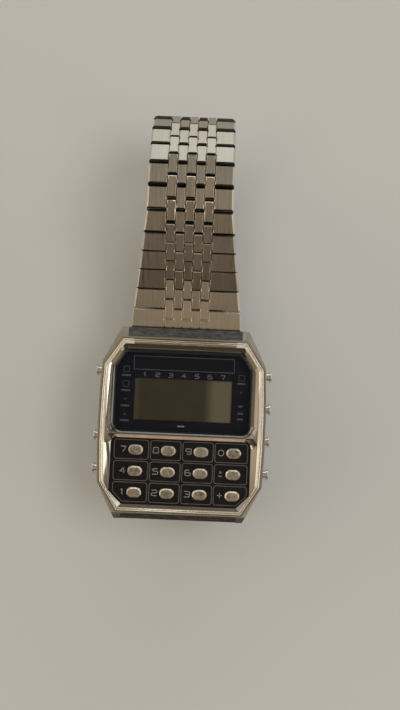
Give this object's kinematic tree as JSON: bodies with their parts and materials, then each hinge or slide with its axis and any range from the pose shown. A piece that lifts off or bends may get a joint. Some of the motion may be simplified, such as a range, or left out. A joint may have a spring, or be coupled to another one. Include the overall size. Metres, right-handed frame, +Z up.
{
  "type": "calculator watch",
  "caption": "Steel digital watch with a small keypad below its display, side pushers, a tapering brick-pattern bracelet and a fold-over clasp.",
  "frame": {"origin": "middle of the clasp cover's flat outer face, on which the closed watch rests", "axes": "+Z up, square to the display; +Y towards the display's upper side; +X to the right when the display is read"},
  "size_m": [0.0382, 0.089, 0.0322],
  "materials": {
    "case_steel": "brushed sides",
    "frame_steel": "mirror polished",
    "glass": "clear",
    "mask": "printed behind the glass",
    "lcd": "grey-green liquid crystal",
    "panel": "satin black",
    "mat": "moulded silicone",
    "module": "moulded",
    "board": "glass epoxy",
    "cell": "nickel plated",
    "back_steel": "brushed",
    "gasket": "moulded",
    "pin_steel": "turned",
    "blade_steel": "pressed sheet",
    "clasp_steel": "brushed sheet",
    "bracelet_steel": "brushed tops, bright edges",
    "key_caps": "metal plated, satin",
    "pusher_steel": "polished"
  },
  "bodies": {
    "head": {"mid_case": "case_steel", "front_frame": "frame_steel", "crystal": "glass", "display_mask": "mask", "lcd_cell": "lcd", "keypad_plate": "panel", "key_mat": "mat", "module_frame": "module", "circuit_board": "board", "battery": "cell", "case_back": "back_steel", "back_gasket": "gasket", "spring_bars": "pin_steel"},
    "link_upper_01": {"link_upper_01": "bracelet_steel"},
    "link_upper_02": {"link_upper_02": "bracelet_steel"},
    "link_upper_03": {"link_upper_03": "bracelet_steel"},
    "link_upper_04": {"link_upper_04": "bracelet_steel"},
    "link_upper_05": {"link_upper_05": "bracelet_steel"},
    "link_upper_06": {"link_upper_06": "bracelet_steel"},
    "link_upper_07": {"link_upper_07": "bracelet_steel"},
    "link_upper_08": {"link_upper_08": "bracelet_steel"},
    "link_upper_09": {"link_upper_09": "bracelet_steel"},
    "link_upper_10": {"link_upper_10": "bracelet_steel"},
    "link_upper_11": {"link_upper_11": "bracelet_steel"},
    "link_upper_12": {"link_upper_12": "bracelet_steel"},
    "link_upper_13": {"link_upper_13": "bracelet_steel"},
    "link_upper_14": {"link_upper_14": "bracelet_steel"},
    "link_upper_15": {"link_upper_15": "bracelet_steel"},
    "link_upper_16": {"link_upper_16": "bracelet_steel"},
    "link_upper_17": {"link_upper_17": "bracelet_steel"},
    "link_upper_18": {"link_upper_18": "bracelet_steel"},
    "link_lower_01": {"link_lower_01": "bracelet_steel"},
    "link_lower_02": {"link_lower_02": "bracelet_steel"},
    "link_lower_03": {"link_lower_03": "bracelet_steel"},
    "link_lower_04": {"link_lower_04": "bracelet_steel"},
    "link_lower_05": {"link_lower_05": "bracelet_steel"},
    "link_lower_06": {"link_lower_06": "bracelet_steel"},
    "link_lower_07": {"link_lower_07": "bracelet_steel"},
    "clasp_inner_blade": {"clasp_inner_blade": "blade_steel"},
    "clasp_outer_blade": {"clasp_outer_blade": "blade_steel"},
    "clasp_cover": {"clasp_cover": "clasp_steel"},
    "key_01": {"key_01": "key_caps"},
    "key_02": {"key_02": "key_caps"},
    "key_03": {"key_03": "key_caps"},
    "key_04": {"key_04": "key_caps"},
    "key_05": {"key_05": "key_caps"},
    "key_06": {"key_06": "key_caps"},
    "key_07": {"key_07": "key_caps"},
    "key_08": {"key_08": "key_caps"},
    "key_09": {"key_09": "key_caps"},
    "key_10": {"key_10": "key_caps"},
    "key_11": {"key_11": "key_caps"},
    "key_12": {"key_12": "key_caps"},
    "pusher_01": {"pusher_01": "pusher_steel"},
    "pusher_02": {"pusher_02": "pusher_steel"},
    "pusher_03": {"pusher_03": "pusher_steel"},
    "pusher_04": {"pusher_04": "pusher_steel"},
    "pusher_05": {"pusher_05": "pusher_steel"},
    "pusher_06": {"pusher_06": "pusher_steel"},
    "pusher_07": {"pusher_07": "pusher_steel"}
  },
  "joints": [
    {"name": "upper_lug_hinge", "type": "hinge", "parent": "head", "child": "link_upper_01", "pos_m": [0, -0.00835, 0.01534], "axis": [1, 0, 0], "range_deg": [0, 10]},
    {"name": "upper_row_hinge_02", "type": "hinge", "parent": "link_upper_01", "child": "link_upper_02", "pos_m": [0, -0.00116, 0.01799], "axis": [1, 0, 0], "range_deg": [0, 11.2]},
    {"name": "upper_row_hinge_03", "type": "hinge", "parent": "link_upper_02", "child": "link_upper_03", "pos_m": [0, 0.00299, 0.01975], "axis": [1, 0, 0], "range_deg": [0, 5.5]},
    {"name": "upper_row_hinge_04", "type": "hinge", "parent": "link_upper_03", "child": "link_upper_04", "pos_m": [0, 0.00682, 0.0221], "axis": [1, 0, 0], "range_deg": [0, 5.5]},
    {"name": "upper_row_hinge_05", "type": "hinge", "parent": "link_upper_04", "child": "link_upper_05", "pos_m": [0, 0.01027, 0.02499], "axis": [1, 0, 0], "range_deg": [0, 10]},
    {"name": "upper_row_hinge_06", "type": "hinge", "parent": "link_upper_05", "child": "link_upper_06", "pos_m": [0, 0.01351, 0.02812], "axis": [1, 0, 0], "range_deg": [0, 16.5]},
    {"name": "upper_row_hinge_07", "type": "hinge", "parent": "link_upper_06", "child": "link_upper_07", "pos_m": [0, 0.0175, 0.0302], "axis": [1, 0, 0], "range_deg": [0, 19]},
    {"name": "upper_row_hinge_08", "type": "hinge", "parent": "link_upper_07", "child": "link_upper_08", "pos_m": [0, 0.02195, 0.03086], "axis": [1, 0, 0], "range_deg": [0, 19]},
    {"name": "upper_row_hinge_09", "type": "hinge", "parent": "link_upper_08", "child": "link_upper_09", "pos_m": [0, 0.02637, 0.03004], "axis": [1, 0, 0], "range_deg": [0, 14.5]},
    {"name": "upper_row_hinge_10", "type": "hinge", "parent": "link_upper_09", "child": "link_upper_10", "pos_m": [0, 0.03045, 0.02814], "axis": [1, 0, 0], "range_deg": [0, 14]},
    {"name": "upper_row_hinge_11", "type": "hinge", "parent": "link_upper_10", "child": "link_upper_11", "pos_m": [0, 0.03418, 0.02562], "axis": [1, 0, 0], "range_deg": [0, 16]},
    {"name": "upper_row_hinge_12", "type": "hinge", "parent": "link_upper_11", "child": "link_upper_12", "pos_m": [0, 0.03708, 0.02218], "axis": [1, 0, 0], "range_deg": [0, 20]},
    {"name": "upper_row_hinge_13", "type": "hinge", "parent": "link_upper_12", "child": "link_upper_13", "pos_m": [0, 0.03862, 0.01795], "axis": [1, 0, 0], "range_deg": [0, 19]},
    {"name": "upper_row_hinge_14", "type": "hinge", "parent": "link_upper_13", "child": "link_upper_14", "pos_m": [0, 0.03869, 0.01345], "axis": [1, 0, 0], "range_deg": [0, 19]},
    {"name": "upper_row_hinge_15", "type": "hinge", "parent": "link_upper_14", "child": "link_upper_15", "pos_m": [0, 0.0373, 0.00917], "axis": [1, 0, 0], "range_deg": [0, 19]},
    {"name": "upper_row_hinge_16", "type": "hinge", "parent": "link_upper_15", "child": "link_upper_16", "pos_m": [0, 0.0346, 0.00557], "axis": [1, 0, 0], "range_deg": [0, 19]},
    {"name": "upper_row_hinge_17", "type": "hinge", "parent": "link_upper_16", "child": "link_upper_17", "pos_m": [0, 0.03086, 0.00306], "axis": [1, 0, 0], "range_deg": [0, 17]},
    {"name": "upper_row_hinge_18", "type": "hinge", "parent": "link_upper_17", "child": "link_upper_18", "pos_m": [0, 0.02656, 0.00174], "axis": [1, 0, 0], "range_deg": [0, 14]},
    {"name": "lower_lug_hinge", "type": "hinge", "parent": "head", "child": "link_lower_01", "pos_m": [0, -0.04615, 0.01534], "axis": [1, 0, 0], "range_deg": [-80, 0]},
    {"name": "lower_row_hinge_02", "type": "hinge", "parent": "link_lower_01", "child": "link_lower_02", "pos_m": [0, -0.04749, 0.00779], "axis": [1, 0, 0], "range_deg": [-42.88, 0]},
    {"name": "lower_row_hinge_03", "type": "hinge", "parent": "link_lower_02", "child": "link_lower_03", "pos_m": [0, -0.04504, 0.00401], "axis": [1, 0, 0], "range_deg": [-31.61, 0]},
    {"name": "lower_row_hinge_04", "type": "hinge", "parent": "link_lower_03", "child": "link_lower_04", "pos_m": [0, -0.04098, 0.00207], "axis": [1, 0, 0], "range_deg": [-20.5, 0]},
    {"name": "lower_row_hinge_05", "type": "hinge", "parent": "link_lower_04", "child": "link_lower_05", "pos_m": [0, -0.0365, 0.00168], "axis": [1, 0, 0], "range_deg": [-14, 0]},
    {"name": "lower_row_hinge_06", "type": "hinge", "parent": "link_lower_05", "child": "link_lower_06", "pos_m": [0, -0.032, 0.00148], "axis": [1, 0, 0], "range_deg": [-14, 0]},
    {"name": "lower_row_hinge_07", "type": "hinge", "parent": "link_lower_06", "child": "link_lower_07", "pos_m": [0, -0.0275, 0.00139], "axis": [1, 0, 0], "range_deg": [-14, 0]},
    {"name": "clasp_end_hinge", "type": "hinge", "parent": "link_lower_07", "child": "clasp_inner_blade", "pos_m": [0, -0.023, 0.00135], "axis": [1, 0, 0], "range_deg": [-14, 0]},
    {"name": "blade_hinge", "type": "hinge", "parent": "clasp_inner_blade", "child": "clasp_outer_blade", "pos_m": [0, 0.0183, 0.00168], "axis": [1, 0, 0], "range_deg": [0, 120]},
    {"name": "cover_hinge", "type": "hinge", "parent": "clasp_outer_blade", "child": "clasp_cover", "pos_m": [0, -0.0193, 0.0012], "axis": [-1, 0, 0], "range_deg": [0, 150]},
    {"name": "key_01_press", "type": "slide", "parent": "head", "child": "key_01", "axis": [0, 0, -1], "range_m": [0, 0.0004], "stiffness_N_per_m": 1000, "springref_m": -0.0003},
    {"name": "key_02_press", "type": "slide", "parent": "head", "child": "key_02", "axis": [0, 0, -1], "range_m": [0, 0.0004], "stiffness_N_per_m": 1000, "springref_m": -0.0003},
    {"name": "key_03_press", "type": "slide", "parent": "head", "child": "key_03", "axis": [0, 0, -1], "range_m": [0, 0.0004], "stiffness_N_per_m": 1000, "springref_m": -0.0003},
    {"name": "key_04_press", "type": "slide", "parent": "head", "child": "key_04", "axis": [0, 0, -1], "range_m": [0, 0.0004], "stiffness_N_per_m": 1000, "springref_m": -0.0003},
    {"name": "key_05_press", "type": "slide", "parent": "head", "child": "key_05", "axis": [0, 0, -1], "range_m": [0, 0.0004], "stiffness_N_per_m": 1000, "springref_m": -0.0003},
    {"name": "key_06_press", "type": "slide", "parent": "head", "child": "key_06", "axis": [0, 0, -1], "range_m": [0, 0.0004], "stiffness_N_per_m": 1000, "springref_m": -0.0003},
    {"name": "key_07_press", "type": "slide", "parent": "head", "child": "key_07", "axis": [0, 0, -1], "range_m": [0, 0.0004], "stiffness_N_per_m": 1000, "springref_m": -0.0003},
    {"name": "key_08_press", "type": "slide", "parent": "head", "child": "key_08", "axis": [0, 0, -1], "range_m": [0, 0.0004], "stiffness_N_per_m": 1000, "springref_m": -0.0003},
    {"name": "key_09_press", "type": "slide", "parent": "head", "child": "key_09", "axis": [0, 0, -1], "range_m": [0, 0.0004], "stiffness_N_per_m": 1000, "springref_m": -0.0003},
    {"name": "key_10_press", "type": "slide", "parent": "head", "child": "key_10", "axis": [0, 0, -1], "range_m": [0, 0.0004], "stiffness_N_per_m": 1000, "springref_m": -0.0003},
    {"name": "key_11_press", "type": "slide", "parent": "head", "child": "key_11", "axis": [0, 0, -1], "range_m": [0, 0.0004], "stiffness_N_per_m": 1000, "springref_m": -0.0003},
    {"name": "key_12_press", "type": "slide", "parent": "head", "child": "key_12", "axis": [0, 0, -1], "range_m": [0, 0.0004], "stiffness_N_per_m": 1000, "springref_m": -0.0003},
    {"name": "pusher_01_press", "type": "slide", "parent": "head", "child": "pusher_01", "axis": [-1, 0, 0], "range_m": [0, 0.0006], "stiffness_N_per_m": 1200, "springref_m": -0.0004},
    {"name": "pusher_02_press", "type": "slide", "parent": "head", "child": "pusher_02", "axis": [-1, 0, 0], "range_m": [0, 0.0006], "stiffness_N_per_m": 1200, "springref_m": -0.0004},
    {"name": "pusher_03_press", "type": "slide", "parent": "head", "child": "pusher_03", "axis": [-1, 0, 0], "range_m": [0, 0.0006], "stiffness_N_per_m": 1200, "springref_m": -0.0004},
    {"name": "pusher_04_press", "type": "slide", "parent": "head", "child": "pusher_04", "axis": [-1, 0, 0], "range_m": [0, 0.0006], "stiffness_N_per_m": 1200, "springref_m": -0.0004},
    {"name": "pusher_05_press", "type": "slide", "parent": "head", "child": "pusher_05", "axis": [1, 0, 0], "range_m": [0, 0.0006], "stiffness_N_per_m": 1200, "springref_m": -0.0004},
    {"name": "pusher_06_press", "type": "slide", "parent": "head", "child": "pusher_06", "axis": [1, 0, 0], "range_m": [0, 0.0006], "stiffness_N_per_m": 1200, "springref_m": -0.0004},
    {"name": "pusher_07_press", "type": "slide", "parent": "head", "child": "pusher_07", "axis": [1, 0, 0], "range_m": [0, 0.0006], "stiffness_N_per_m": 1200, "springref_m": -0.0004}
  ],
  "couplings": [
    {"joint": "blade_hinge", "follows": "cover_hinge", "ratio": 0.8}
  ]
}
